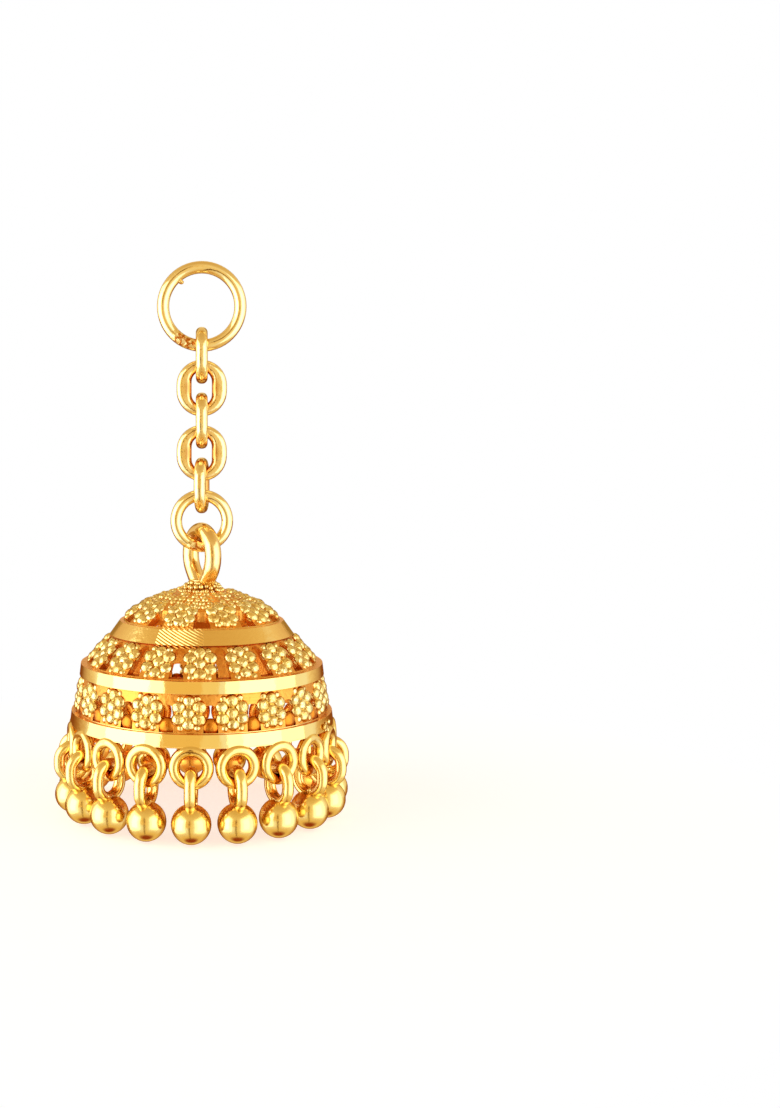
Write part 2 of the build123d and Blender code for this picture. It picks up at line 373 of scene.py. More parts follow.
def cast_gold(name, centre_z):
    """Cast gold, tumbled: bright, gently rippled like orange peel, with painted shade towards the
    hole and in the corners between links."""
    material, tree, shader = gold(name)
    place = add(tree, "ShaderNodeTexCoord").outputs["Object"]
    in_mm = add(tree, "ShaderNodeMapping", {"Vector": place, "Location": (0, 0, -centre_z / MM),
                                            "Scale": (1 / MM,) * 3}).outputs[0]

    # Tumbling scratches are under 0.1 mm long, and the orange peel's dimples about 0.5 mm across.
    scratches = add(tree, "ShaderNodeTexNoise",
                    {"Vector": in_mm, "Scale": 14.0, "Detail": 3.0}).outputs["Fac"]
    rough = add(tree, "ShaderNodeMapRange", {"Value": scratches, "To Min": 0.05, "To Max": 0.2})
    tree.links.new(rough.outputs[0], shader.inputs["Roughness"])
    peel = add(tree, "ShaderNodeTexNoise",
               {"Vector": in_mm, "Scale": 2.0, "Detail": 3.0}).outputs["Fac"]
    bump = add(tree, "ShaderNodeBump", {"Strength": 0.6, "Distance": 0.06 * MM, "Height": peel})
    tree.links.new(bump.outputs[0], shader.inputs["Normal"])

    # Colour: bright, with painted shade in the corners and round the hole.
    open_air = add(tree, "ShaderNodeAmbientOcclusion", {"Distance": 0.9 * MM},
                   samples=6).outputs["AO"]
    corner = add(tree, "ShaderNodeMapRange",
                 {"Value": open_air, "From Min": 0.8, "From Max": 0.3}).outputs[0]
    reach = add(tree, "ShaderNodeVectorMath", {0: in_mm}, operation="LENGTH").outputs["Value"]
    by_hole = add(tree, "ShaderNodeMapRange",
                  {"Value": reach, "From Min": LINK_BRIGHT, "From Max": HOLE_EDGE}).outputs[0]
    worn = add(tree, "ShaderNodeMath", {0: corner, 1: by_hole}, operation="MAXIMUM").outputs[0]
    colour = add(tree, "ShaderNodeMix", {0: worn, 6: linear(WIRE_GOLD), 7: linear(LINK_DEEP)},
                 data_type="RGBA").outputs[2]
    tree.links.new(colour, shader.inputs["Base Color"])
    return material


for number in range(1, 6):
    low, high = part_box(f"chain_link_{number}")
    paint(f"chain_link_{number}", cast_gold(f"cast_gold_link_{number}", (low.z + high.z) / 2))


# ---------------------------------------------------------------------------------------------
# The bell: a raised sheet shell with three polished bands, a satin sheet between them, a wire
# bail above and wire rings below, all soldered together. Band 1, the highest, is less polished and
# is diamond-cut at its front left. The inside is painted a deeper colour, as painted shade.

GOLD = "#FADE8A"
SATIN_SHEET = "#E9A347"
# The deep colour inside the shell and on the balls' inner sides is painted shade.
PICKLED_INSIDE = "#EEA040"
SATIN, MIRROR = 0.34, 0.06
# The bell's heights, in mm.
LOWEST, HIGHEST = -33.0, -21.0
BAIL_FOOT, RINGS_TOP = -21.3, -31.13
# Heights from the rim rings up, each with how polished the bell is above it.
POLISH_ABOVE = [(LOWEST, 0.85), (-31.1, 1.0), (-30.27, 0.0), (-27.76, 1.0), (-26.96, 0.0),
                (-24.95, 0.75), (-23.98, 0.0), (-21.9, 0.8)]
# The buff leaves lines that are long round the bell and close together up it. Real ones are about
# 0.01 mm apart and are drawn seven times as coarse, so that they show.
BUFF_LINES = (1.2, 9.0, 1.0)
# Band 1, in mm, and its cuts. It leans inwards, so its surface is BAND_1_LEAN times its height.
BAND_1_MIDDLE, BAND_1_HALF = -24.4, 0.75
BAND_1_LEAN = 1.2
CUT_PITCH = 0.19
CUT_RADIUS = 6.2
CUT_SLOPE = math.radians(28)
CUT_MIDDLE, CUT_HALF = math.radians(-14), math.radians(15)


def bell_gold():
    """Raised gold sheet: mirror bright on the bands and the wires, satin and more orange between
    them, with painted shade inside, and red-brown rouge and painted shade in the corners that the
    buff can't reach."""
    material, tree, shader = gold("raised_gold_sheet")
    coordinates = add(tree, "ShaderNodeTexCoord").outputs
    in_mm = add(tree, "ShaderNodeVectorMath", {0: coordinates["Object"], "Scale": 1 / MM},
                operation="SCALE").outputs[0]
    part = add(tree, "ShaderNodeSeparateXYZ", {0: in_mm}).outputs
    flat = add(tree, "ShaderNodeVectorMath", {0: in_mm, 1: (1, 1, 0)},
               operation="MULTIPLY").outputs[0]
    outwards = add(tree, "ShaderNodeVectorMath", {0: flat}, operation="NORMALIZE").outputs[0]
    facing = add(tree, "ShaderNodeVectorMath", {0: coordinates["Normal"], 1: outwards},
                 operation="DOT_PRODUCT").outputs["Value"]
    inside = add(tree, "ShaderNodeMapRange",
                 {"Value": facing, "From Min": 0.0, "From Max": -0.3}).outputs[0]
    outside = add(tree, "ShaderNodeMapRange",
                  {"Value": facing, "From Min": 0.1, "From Max": 0.4}).outputs[0]
    front = add(tree, "ShaderNodeMath", {0: part["Y"], 1: -1.0}, operation="MULTIPLY").outputs[0]
    turn = add(tree, "ShaderNodeMath", {0: part["X"], 1: front}, operation="ARCTAN2").outputs[0]

    # How polished: by height, and only on the outside, except that a wire is polished all round.
    rise = add(tree, "ShaderNodeMapRange",
               {"Value": part["Z"], "From Min": LOWEST, "From Max": HIGHEST}).outputs[0]
    bands = add(tree, "ShaderNodeValToRGB", {0: rise})
    bands.color_ramp.interpolation = "CONSTANT"
    stops = [((z - LOWEST) / (HIGHEST - LOWEST), (grey, grey, grey, 1)) for z, grey in POLISH_ABOVE]
    fill_ramp(bands.color_ramp, stops)
    is_bail = add(tree, "ShaderNodeMath", {0: part["Z"], 1: BAIL_FOOT},
                  operation="GREATER_THAN").outputs[0]
    is_ring = add(tree, "ShaderNodeMath", {0: part["Z"], 1: RINGS_TOP},
                  operation="LESS_THAN").outputs[0]
    is_wire = add(tree, "ShaderNodeMath", {0: is_bail, 1: is_ring}, operation="ADD").outputs[0]
    reached = add(tree, "ShaderNodeMath", {0: outside, 1: is_wire}, operation="MAXIMUM").outputs[0]
    polish = add(tree, "ShaderNodeMath", {0: bands.outputs[0], 1: reached},
                 operation="MULTIPLY").outputs[0]

    # Colour: satin sheet, bright bands, a paler bail, painted shade inside, rouge and painted shade
    # in the corners.
    bright = add(tree, "ShaderNodeMix", {0: is_bail, 6: linear(GOLD), 7: linear(WIRE_GOLD)},
                 data_type="RGBA").outputs[2]
    sheet = add(tree, "ShaderNodeMix", {0: polish, 6: linear(SATIN_SHEET), 7: bright},
                data_type="RGBA").outputs[2]
    below_bail = add(tree, "ShaderNodeMath", {0: 1.0, 1: is_bail}, operation="SUBTRACT").outputs[0]
    in_shell = add(tree, "ShaderNodeMath", {0: inside, 1: below_bail},
                   operation="MULTIPLY").outputs[0]
    pickled = add(tree, "ShaderNodeMix", {0: in_shell, 6: sheet, 7: linear(PICKLED_INSIDE)},
                  data_type="RGBA").outputs[2]
    # Where little open air reaches, the corners turn red-brown: rouge, and painted shade.
    open_air = add(tree, "ShaderNodeAmbientOcclusion", {"Distance": 0.45 * MM},
                   samples=6).outputs["AO"]
    corner = add(tree, "ShaderNodeMapRange",
                 {"Value": open_air, "From Min": 0.6, "From Max": 0.15}).outputs[0]
    colour = add(tree, "ShaderNodeMix", {0: corner, 6: pickled, 7: linear(ROUGE)},
                 data_type="RGBA").outputs[2]
    tree.links.new(colour, shader.inputs["Base Color"])

    # Roughness: the buff's faint lines run round the bands.
    swept = add(tree, "ShaderNodeCombineXYZ", {"X": turn, "Y": part["Z"]}).outputs[0]
    stretched = add(tree, "ShaderNodeVectorMath", {0: swept, 1: BUFF_LINES},
                    operation="MULTIPLY").outputs[0]
    buffed = add(tree, "ShaderNodeTexNoise",
                 {"Vector": stretched, "Scale": 1.5, "Detail": 4.0}).outputs["Fac"]
    smooth = add(tree, "ShaderNodeMapRange",
                 {"Value": polish, "To Min": SATIN, "To Max": MIRROR}).outputs[0]
    uneven = add(tree, "ShaderNodeMapRange",
                 {"Value": buffed, "To Min": 0.6, "To Max": 1.5}).outputs[0]
    rough = add(tree, "ShaderNodeMath", {0: smooth, 1: uneven}, operation="MULTIPLY").outputs[0]
    tree.links.new(rough, shader.inputs["Roughness"])

    # Relief: planishing marks about 0.4 mm across, then the diamond cuts, which slope down to the
    # right. They are about 0.1 mm apart and are drawn twice as far apart, so that they show.
    planish = add(tree, "ShaderNodeTexNoise",
                  {"Vector": in_mm, "Scale": 2.4, "Detail": 3.0}).outputs["Fac"]
    depth = add(tree, "ShaderNodeMapRange",
                {"Value": polish, "To Min": 1.0, "To Max": 0.12}).outputs[0]
    hammered = add(tree, "ShaderNodeMath", {0: planish, 1: depth}, operation="MULTIPLY").outputs[0]
    dished = add(tree, "ShaderNodeBump",
                 {"Strength": 0.7, "Distance": 0.08 * MM, "Height": hammered}).outputs[0]
    across = add(tree, "ShaderNodeMath", {0: turn, 1: CUT_RADIUS * math.sin(CUT_SLOPE)},
                 operation="MULTIPLY").outputs[0]
    down = add(tree, "ShaderNodeMath", {0: part["Z"], 1: BAND_1_LEAN * math.cos(CUT_SLOPE)},
               operation="MULTIPLY").outputs[0]
    cut_place = add(tree, "ShaderNodeMath", {0: across, 1: down}, operation="ADD").outputs[0]
    phase = add(tree, "ShaderNodeMath", {0: cut_place, 1: 2 * math.pi / CUT_PITCH},
                operation="MULTIPLY").outputs[0]
    cuts = add(tree, "ShaderNodeMath", {0: phase}, operation="SINE").outputs[0]
    near_cuts = add(tree, "ShaderNodeMath", {0: turn, 1: CUT_MIDDLE, 2: CUT_HALF},
                    operation="COMPARE").outputs[0]
    on_band = add(tree, "ShaderNodeMath", {0: part["Z"], 1: BAND_1_MIDDLE, 2: BAND_1_HALF},
                  operation="COMPARE").outputs[0]
    on_outside = add(tree, "ShaderNodeMath", {0: on_band, 1: outside},
                     operation="MULTIPLY").outputs[0]
    cut_area = add(tree, "ShaderNodeMath", {0: near_cuts, 1: on_outside},
                   operation="MULTIPLY").outputs[0]
    cut_relief = add(tree, "ShaderNodeMath", {0: cuts, 1: cut_area},
                     operation="MULTIPLY").outputs[0]
    cut = add(tree, "ShaderNodeBump", {"Strength": 1.0, "Distance": 0.02 * MM, "Height": cut_relief,
                                       "Normal": dished}).outputs[0]
    tree.links.new(cut, shader.inputs["Normal"])
    return material


paint("bell", bell_gold())


# ---------------------------------------------------------------------------------------------
# The granulation: gold grains fused on to the sheet in flowers, six round one, with small grains
# in the notches that don't face a window, and in plain rows up the crown and the bail's cone.

GRAIN_GOLD = "#F6EAA8"
GRAIN_DEEP = "#F8DE8C"
CREASE_BROWN = "#B87C24"
# A filler grain sits this many pitches from the middle of its flower, in the notch of two grains.
NOTCH_REACH = 1.43
# How far a grain may stray from its place.
FLOWER_SHAKE = 0.03 * MM
ROW_SHAKE, ROW_SHAKE_UP = 0.09 * MM, 0.05 * MM


def granule_gold():
    """Fused gold grains: bright little domes, each a shade apart, drawn and creased by the heat,
    with rouge and painted shade between them and brown flux left in the creases."""
    material, tree, shader = gold("fused_gold_grains")
    shader.inputs["Roughness"].default_value = 0.13
    tone = add(tree, "ShaderNodeAttribute", attribute_name="tone").outputs["Fac"]
    shade = add(tree, "ShaderNodeMix", {0: tone, 6: linear(GRAIN_GOLD), 7: linear(GRAIN_DEEP)},
                data_type="RGBA").outputs[2]
    # Between the grains, rouge and painted shade.
    open_air = add(tree, "ShaderNodeAmbientOcclusion", {"Distance": 0.3 * MM},
                   samples=6).outputs["AO"]
    corner = add(tree, "ShaderNodeMapRange",
                 {"Value": open_air, "From Min": 0.6, "From Max": 0.05}).outputs[0]
    colour = add(tree, "ShaderNodeMix", {0: corner, 6: shade, 7: linear(ROUGE)},
                 data_type="RGBA").outputs[2]
    place = add(tree, "ShaderNodeTexCoord").outputs["Object"]
    in_mm = add(tree, "ShaderNodeVectorMath", {0: place, "Scale": 1 / MM},
                operation="SCALE").outputs[0]

    # The melted skin is drawn into folds about 0.4 mm across, with a crease along their middles.
    skin = add(tree, "ShaderNodeTexNoise",
               {"Vector": in_mm, "Scale": 2.6, "Detail": 3.0, "Distortion": 0.8}).outputs["Fac"]
    from_middle = add(tree, "ShaderNodeMath", {0: skin, 1: 0.5}, operation="SUBTRACT").outputs[0]
    off_middle = add(tree, "ShaderNodeMath", {0: from_middle}, operation="ABSOLUTE").outputs[0]
    crease = add(tree, "ShaderNodeMapRange", {"Value": off_middle, "From Min": 0.07,
                                              "From Max": 0.025, "To Max": 0.55}).outputs[0]
    creased = add(tree, "ShaderNodeMix", {0: crease, 6: colour, 7: linear(CREASE_BROWN)},
                  data_type="RGBA").outputs[2]
    tree.links.new(creased, shader.inputs["Base Color"])
    bump = add(tree, "ShaderNodeBump", {"Strength": 0.7, "Distance": 0.1 * MM, "Height": skin})
    tree.links.new(bump.outputs[0], shader.inputs["Normal"])
    return material


def start_tree(name, inputs):
    """A new geometry tree with these inputs, each a name and a kind. Returns it and its inputs."""
    tree = bpy.data.node_groups.new(name, "GeometryNodeTree")
    for label, kind in inputs.items():
        tree.interface.new_socket(name=label, in_out="INPUT", socket_type=f"NodeSocket{kind}")
    tree.interface.new_socket(name="Geometry", in_out="OUTPUT", socket_type="NodeSocketGeometry")
    return tree, add(tree, "NodeGroupInput").outputs


def end_tree(tree, shapes, material):
    """Ends a tree: its shapes become plain meshes, shaded smooth, with their material."""
    real = add(tree, "GeometryNodeRealizeInstances", {0: shapes}).outputs[0]
    smooth = add(tree, "GeometryNodeSetShadeSmooth", {0: real}).outputs[0]
    finished = add(tree, "GeometryNodeSetMaterial", {0: smooth, "Material": material}).outputs[0]
    add(tree, "NodeGroupOutput", {0: finished})


def flower_belt_tree():
    """The tree that sets a belt of granulated flowers round the bell."""
    tree, given = start_tree("flower_belt", {
        "Flowers": "Int", "First Turn": "Float", "Middle Radius": "Float", "Middle Height": "Float",
        "Lean": "Float", "Sink": "Float", "Grain": "Float", "Pitch": "Float", "Flatness": "Float",
        "Row Stretch": "Float", "Filler": "Float", "Seed": "Int", "Material": "Material"})

    # One flower in the plane: a middle grain, six round it in upright columns, and the fillers,
    # of which the two level with the middle are left out, because a window is beside them.
    middle = add(tree, "GeometryNodePoints", {"Count": 1}).outputs[0]
    middle_points = add(tree, "GeometryNodeStoreNamedAttribute",
                        {0: middle, "Name": "grain", "Value": given["Grain"]})
    six = add(tree, "GeometryNodeMeshCircle", {"Vertices": 6, "Radius": given["Pitch"]}).outputs[0]
    upright = add(tree, "GeometryNodeTransform",
                  {0: six, "Rotation": (0, 0, math.radians(30))}).outputs[0]
    six_points = add(tree, "GeometryNodeMeshToPoints", {"Mesh": upright}).outputs[0]
    six_grains = add(tree, "GeometryNodeStoreNamedAttribute",
                     {0: six_points, "Name": "grain", "Value": given["Grain"]})
    notch_reach = add(tree, "ShaderNodeMath", {0: given["Pitch"], 1: NOTCH_REACH},
                      operation="MULTIPLY").outputs[0]
    notches = add(tree, "GeometryNodeMeshCircle", {"Vertices": 6, "Radius": notch_reach}).outputs[0]
    notch_points = add(tree, "GeometryNodeMeshToPoints", {"Mesh": notches}).outputs[0]
    where = add(tree, "GeometryNodeInputPosition").outputs[0]
    upwards = add(tree, "ShaderNodeSeparateXYZ", {0: where}).outputs["Y"]
    by_window = add(tree, "ShaderNodeMath", {0: upwards, 1: 0.0, 2: 0.1 * MM},
                    operation="COMPARE").outputs[0]
    kept = add(tree, "GeometryNodeDeleteGeometry",
               {0: notch_points, "Selection": by_window}).outputs[0]
    fillers = add(tree, "GeometryNodeStoreNamedAttribute",
                  {0: kept, "Name": "grain", "Value": given["Filler"]})
    flower = add(tree, "GeometryNodeJoinGeometry")
    for grains in (middle_points, six_grains, fillers):
        tree.links.new(grains.outputs[0], flower.inputs[0])
    stretch = add(tree, "ShaderNodeCombineXYZ",
                  {"X": 1.0, "Y": given["Row Stretch"], "Z": 1.0}).outputs[0]
    tall = add(tree, "GeometryNodeTransform", {0: flower.outputs[0], "Scale": stretch}).outputs[0]

    # A flattened ball at every point: the heat has let the grains slump into the sheet.
    size = add(tree, "GeometryNodeInputNamedAttribute", {"Name": "grain"},
               data_type="FLOAT").outputs[0]
    thick = add(tree, "ShaderNodeMath", {0: size, 1: given["Flatness"]},
                operation="MULTIPLY").outputs[0]
    slumped = add(tree, "ShaderNodeCombineXYZ", {"X": size, "Y": size, "Z": thick}).outputs[0]
    ball = add(tree, "GeometryNodeMeshIcoSphere", {"Radius": 0.5, "Subdivisions": 2}).outputs[0]
    grains = add(tree, "GeometryNodeInstanceOnPoints",
                 {"Points": tall, "Instance": ball, "Scale": slumped}).outputs[0]
    petals = add(tree, "GeometryNodeRealizeInstances", {0: grains}).outputs[0]

    # Stood up against the shell at the front, leaning with its wall, and let into it.
    sunk = add(tree, "ShaderNodeMath", {0: given["Sink"], 1: -1.0}, operation="MULTIPLY").outputs[0]
    inwards = add(tree, "ShaderNodeCombineXYZ", {"Z": sunk}).outputs[0]
    let_in = add(tree, "GeometryNodeTransform", {0: petals, "Translation": inwards}).outputs[0]
    quarter = add(tree, "ShaderNodeMath", {0: math.radians(90), 1: given["Lean"]},
                  operation="SUBTRACT").outputs[0]
    stand = add(tree, "ShaderNodeCombineXYZ", {"X": quarter}).outputs[0]
    forwards = add(tree, "ShaderNodeMath", {0: given["Middle Radius"], 1: -1.0},
                   operation="MULTIPLY").outputs[0]
    front = add(tree, "ShaderNodeCombineXYZ",
                {"Y": forwards, "Z": given["Middle Height"]}).outputs[0]
    standing = add(tree, "GeometryNodeTransform",
                   {0: let_in, "Translation": front, "Rotation": stand}).outputs[0]

    # Repeated round the axis.
    places = add(tree, "GeometryNodePoints", {"Count": given["Flowers"]}).outputs[0]
    number = add(tree, "GeometryNodeInputIndex").outputs[0]
    step = add(tree, "ShaderNodeMath", {0: 2 * math.pi, 1: given["Flowers"]},
               operation="DIVIDE").outputs[0]
    turn = add(tree, "ShaderNodeMath", {0: number, 1: step, 2: given["First Turn"]},
               operation="MULTIPLY_ADD").outputs[0]
    turned = add(tree, "ShaderNodeCombineXYZ", {"Z": turn}).outputs[0]
    belt = add(tree, "GeometryNodeInstanceOnPoints",
               {"Points": places, "Instance": standing, "Rotation": turned})
    loose = add(tree, "GeometryNodeRealizeInstances", {0: belt.outputs[0]}).outputs[0]

    # Each grain sits and melts a little differently.
    grain_number = add(tree, "GeometryNodeInputMeshIsland").outputs[0]
    shake = add(tree, "FunctionNodeRandomValue",
                {0: (-FLOWER_SHAKE,) * 3, 1: (FLOWER_SHAKE,) * 3, "ID": grain_number,
                 "Seed": given["Seed"]}, data_type="FLOAT_VECTOR").outputs[0]
    set_down = add(tree, "GeometryNodeSetPosition", {0: loose, "Offset": shake}).outputs[0]
    swell = add(tree, "FunctionNodeRandomValue",
                {2: 0.93, 3: 1.05, "ID": grain_number, "Seed": given["Seed"]},
                data_type="FLOAT").outputs[1]
    swollen = add(tree, "GeometryNodeScaleElements", {0: set_down, "Scale": swell}).outputs[0]
    shade = add(tree, "FunctionNodeRandomValue",
                {2: 0.0, 3: 1.0, "ID": grain_number, "Seed": given["Seed"]},
                data_type="FLOAT").outputs[1]
    toned = add(tree, "GeometryNodeStoreNamedAttribute",
                {0: swollen, "Name": "tone", "Value": shade}).outputs[0]
    end_tree(tree, toned, given["Material"])
    return tree


def grain_row_tree():
    """The tree that sets one row of plain grains round the crown."""
    tree, given = start_tree("grain_row", {"Grains": "Int", "Radius": "Float", "Height": "Float",
                                           "Grain": "Float", "Seed": "Int", "Material": "Material"})
    circle = add(tree, "GeometryNodeMeshCircle",
                 {"Vertices": given["Grains"], "Radius": given["Radius"]}).outputs[0]
    place = add(tree, "ShaderNodeCombineXYZ", {"Z": given["Height"]}).outputs[0]
    raised = add(tree, "GeometryNodeTransform", {0: circle, "Translation": place}).outputs[0]
    points = add(tree, "GeometryNodeMeshToPoints", {"Mesh": raised}).outputs[0]
    shake = add(tree, "FunctionNodeRandomValue",
                {0: (-ROW_SHAKE,) * 3, 1: (ROW_SHAKE, ROW_SHAKE, ROW_SHAKE_UP),
                 "Seed": given["Seed"]}, data_type="FLOAT_VECTOR").outputs[0]
    set_down = add(tree, "GeometryNodeSetPosition", {0: points, "Offset": shake}).outputs[0]
    shade = add(tree, "FunctionNodeRandomValue", {2: 0.0, 3: 1.0, "Seed": given["Seed"]},
                data_type="FLOAT").outputs[1]
    toned = add(tree, "GeometryNodeStoreNamedAttribute",
                {0: set_down, "Name": "tone", "Value": shade}).outputs[0]
    swell = add(tree, "FunctionNodeRandomValue", {2: 0.85, 3: 1.15, "Seed": given["Seed"]},
                data_type="FLOAT").outputs[1]
    scale = add(tree, "ShaderNodeMath", {0: given["Grain"], 1: swell},
                operation="MULTIPLY").outputs[0]
    ball = add(tree, "GeometryNodeMeshIcoSphere", {"Radius": 0.5, "Subdivisions": 2}).outputs[0]
    grains = add(tree, "GeometryNodeInstanceOnPoints",
                 {"Points": toned, "Instance": ball, "Scale": scale}).outputs[0]
    end_tree(tree, grains, given["Material"])
    return tree


def grow(name, tree, values, body):
    """Runs a tree with these inputs, keeps its result as a plain mesh, and fixes it to a body."""
    starter = bpy.data.objects.new(f"{name}_starter", bpy.data.meshes.new(f"{name}_starter"))
    bpy.context.scene.collection.objects.link(starter)
    modifier = starter.modifiers.new("grow", "NODES")
    modifier.node_group = tree
    for socket in tree.interface.items_tree:
        if socket.in_out == "INPUT" and socket.name in values:
            modifier[socket.identifier] = values[socket.name]
    evaluated = starter.evaluated_get(bpy.context.evaluated_depsgraph_get())
    mesh = bpy.data.meshes.new_from_object(evaluated)
    bpy.data.objects.remove(starter)
    piece = bpy.data.objects.new(name, mesh)
    bpy.context.scene.collection.objects.link(piece)
    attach(piece, body)


grain_gold = granule_gold()
belts = {
    "crown_flowers": {"Flowers": 10, "First Turn": math.radians(18), "Middle Radius": 4.45 * MM,
                      "Middle Height": -23.13 * MM, "Lean": math.radians(56), "Grain": 0.94 * MM,
                      "Pitch": 0.75 * MM, "Flatness": 0.7, "Row Stretch": 1.0, "Seed": 3},
    "tier_2_flowers": {"Flowers": 16, "First Turn": math.radians(-0.95), "Middle Radius": 7.2 * MM,
                       "Middle Height": -25.98 * MM, "Lean": math.radians(41), "Grain": 0.96 * MM,
                       "Pitch": 0.77 * MM, "Flatness": 0.74, "Row Stretch": 1.08, "Seed": 5},
    "tier_3_flowers": {"Flowers": 19, "First Turn": math.radians(-5.67), "Middle Radius": 8.6 * MM,
                       "Middle Height": -29.0 * MM, "Lean": math.radians(11), "Grain": 0.96 * MM,
                       "Pitch": 0.765 * MM, "Flatness": 0.74, "Row Stretch": 1.0, "Seed": 7},
}
flower_belt = flower_belt_tree()
for name, values in belts.items():
    grow(name, flower_belt,
         {**values, "Sink": 0.1 * MM, "Filler": 0.52 * MM, "Material": grain_gold},
         "bell")

# The crown is part of a ball of this radius, round a point on the axis at this height. Each of its
# rows has a radius and a number of grains, which are let into the sheet a little.
CROWN_BALL_R = 7.99
CROWN_BALL_Z = -29.77
CROWN_ROWS = [(1.95, 22), (2.36, 28), (2.8, 34), (3.25, 40), (3.7, 46)]
ROW_SINK = 0.12
grain_row = grain_row_tree()
for row, (radius, grains) in enumerate(CROWN_ROWS, start=1):
    height = CROWN_BALL_Z + math.sqrt(CROWN_BALL_R ** 2 - radius ** 2) - ROW_SINK
    grow(f"crown_row_{row}", grain_row,
         {"Grains": grains, "Radius": radius * MM, "Height": height * MM, "Grain": 0.5 * MM,
          "Seed": row, "Material": grain_gold}, "bell")

# Finer grains run up the cone of solder at the bail's foot: radius, height and number.
CONE_ROWS = [(0.9, -21.42, 18), (1.2, -21.64, 24), (1.5, -21.88, 29)]
for row, (radius, height, grains) in enumerate(CONE_ROWS, start=1):
    grow(f"cone_row_{row}", grain_row,
         {"Grains": grains, "Radius": radius * MM, "Height": height * MM, "Grain": 0.34 * MM,
          "Seed": row + 20, "Material": grain_gold}, "bell")


# ---------------------------------------------------------------------------------------------
# The bosses: a little dome of unbuffed sheet at the foot of each lower window, soldered into the
# wall, which leaves only the top of the window open.

# The domes' deep orange, and their brown edge where they meet the wall, are painted shade.
BOSS_ORANGE = "#D8862A"
BOSS_BROWN = "#8A3F10"


def unbuffed_gold():
    """Sheet that the buff can't reach: satin, painted a deep orange as shade, and browner where it
    meets the wall, as painted shade.
    """
    material, tree, shader = gold("unbuffed_gold")
    shader.inputs["Roughness"].default_value = 0.22
    open_air = add(tree, "ShaderNodeAmbientOcclusion", {"Distance": 0.6 * MM},
                   samples=6).outputs["AO"]
    corner = add(tree, "ShaderNodeMapRange", {"Value": open_air, "From Min": 0.9, "From Max": 0.4})
    colour = add(tree, "ShaderNodeMix",
                 {0: corner.outputs[0], 6: linear(BOSS_ORANGE), 7: linear(BOSS_BROWN)},
                 data_type="RGBA")
    tree.links.new(colour.outputs[2], shader.inputs["Base Color"])
    place = add(tree, "ShaderNodeTexCoord").outputs["Object"]
    in_mm = add(tree, "ShaderNodeVectorMath", {0: place, "Scale": 1 / MM},
                operation="SCALE").outputs[0]

    # The punch that domed the sheet leaves dimples about 0.25 mm across.
    skin = add(tree, "ShaderNodeTexNoise",
               {"Vector": in_mm, "Scale": 4.0, "Detail": 3.0}).outputs["Fac"]
    bump = add(tree, "ShaderNodeBump", {"Strength": 0.6, "Distance": 0.05 * MM, "Height": skin})
    tree.links.new(bump.outputs[0], shader.inputs["Normal"])
    return material


def bead_cluster_tree():
    """The tree that repeats a heap of beads round the axis. Shape is a bead's size each way."""
    tree, given = start_tree("bead_cluster", {
        "Copies": "Int", "First Turn": "Float", "Place": "Vector", "Spread": "Vector",
        "Beads": "Int", "Shape": "Vector", "Unevenness": "Float", "Seed": "Int",
        "Material": "Material"})
    ball = add(tree, "GeometryNodeMeshIcoSphere", {"Radius": 0.5, "Subdivisions": 3}).outputs[0]
    bead = add(tree, "GeometryNodeTransform", {0: ball, "Scale": given["Shape"]}).outputs[0]

    # Every bead stands at the front of the axis, turned to its own copy and shaken by Spread.
    every = add(tree, "ShaderNodeMath", {0: given["Copies"], 1: given["Beads"]},
                operation="MULTIPLY").outputs[0]
    points = add(tree, "GeometryNodePoints",
                 {"Count": every, "Position": given["Place"]}).outputs[0]
    least = add(tree, "ShaderNodeVectorMath", {0: given["Spread"], "Scale": -1.0},
                operation="SCALE").outputs[0]
    shake = add(tree, "FunctionNodeRandomValue",
                {0: least, 1: given["Spread"], "Seed": given["Seed"]},
                data_type="FLOAT_VECTOR").outputs[0]
    number = add(tree, "GeometryNodeInputIndex").outputs[0]
    copy = add(tree, "ShaderNodeMath", {0: number, 1: given["Copies"]},
               operation="MODULO").outputs[0]
    step = add(tree, "ShaderNodeMath", {0: 2 * math.pi, 1: given["Copies"]},
               operation="DIVIDE").outputs[0]
    turn = add(tree, "ShaderNodeMath", {0: copy, 1: step, 2: given["First Turn"]},
               operation="MULTIPLY_ADD").outputs[0]
    shaken = add(tree, "ShaderNodeVectorMath", {0: given["Place"], 1: shake},
                 operation="ADD").outputs[0]
    spun = add(tree, "ShaderNodeVectorRotate", {"Vector": shaken, "Angle": turn},
               rotation_type="Z_AXIS").outputs[0]
    set_down = add(tree, "GeometryNodeSetPosition", {0: points, "Position": spun}).outputs[0]
    shade = add(tree, "FunctionNodeRandomValue", {2: 0.0, 3: 1.0, "Seed": given["Seed"]},
                data_type="FLOAT").outputs[1]
    toned = add(tree, "GeometryNodeStoreNamedAttribute",
                {0: set_down, "Name": "tone", "Value": shade}).outputs[0]
    small = add(tree, "ShaderNodeMath", {0: 1.0, 1: given["Unevenness"]},
                operation="SUBTRACT").outputs[0]
    large = add(tree, "ShaderNodeMath", {0: 1.0, 1: given["Unevenness"]},
                operation="ADD").outputs[0]
    scale = add(tree, "FunctionNodeRandomValue", {2: small, 3: large, "Seed": given["Seed"]},
                data_type="FLOAT").outputs[1]
    facing = add(tree, "ShaderNodeCombineXYZ", {"Z": turn}).outputs[0]
    beads = add(tree, "GeometryNodeInstanceOnPoints",
                {"Points": toned, "Instance": bead, "Rotation": facing, "Scale": scale}).outputs[0]
    end_tree(tree, beads, given["Material"])
    return tree


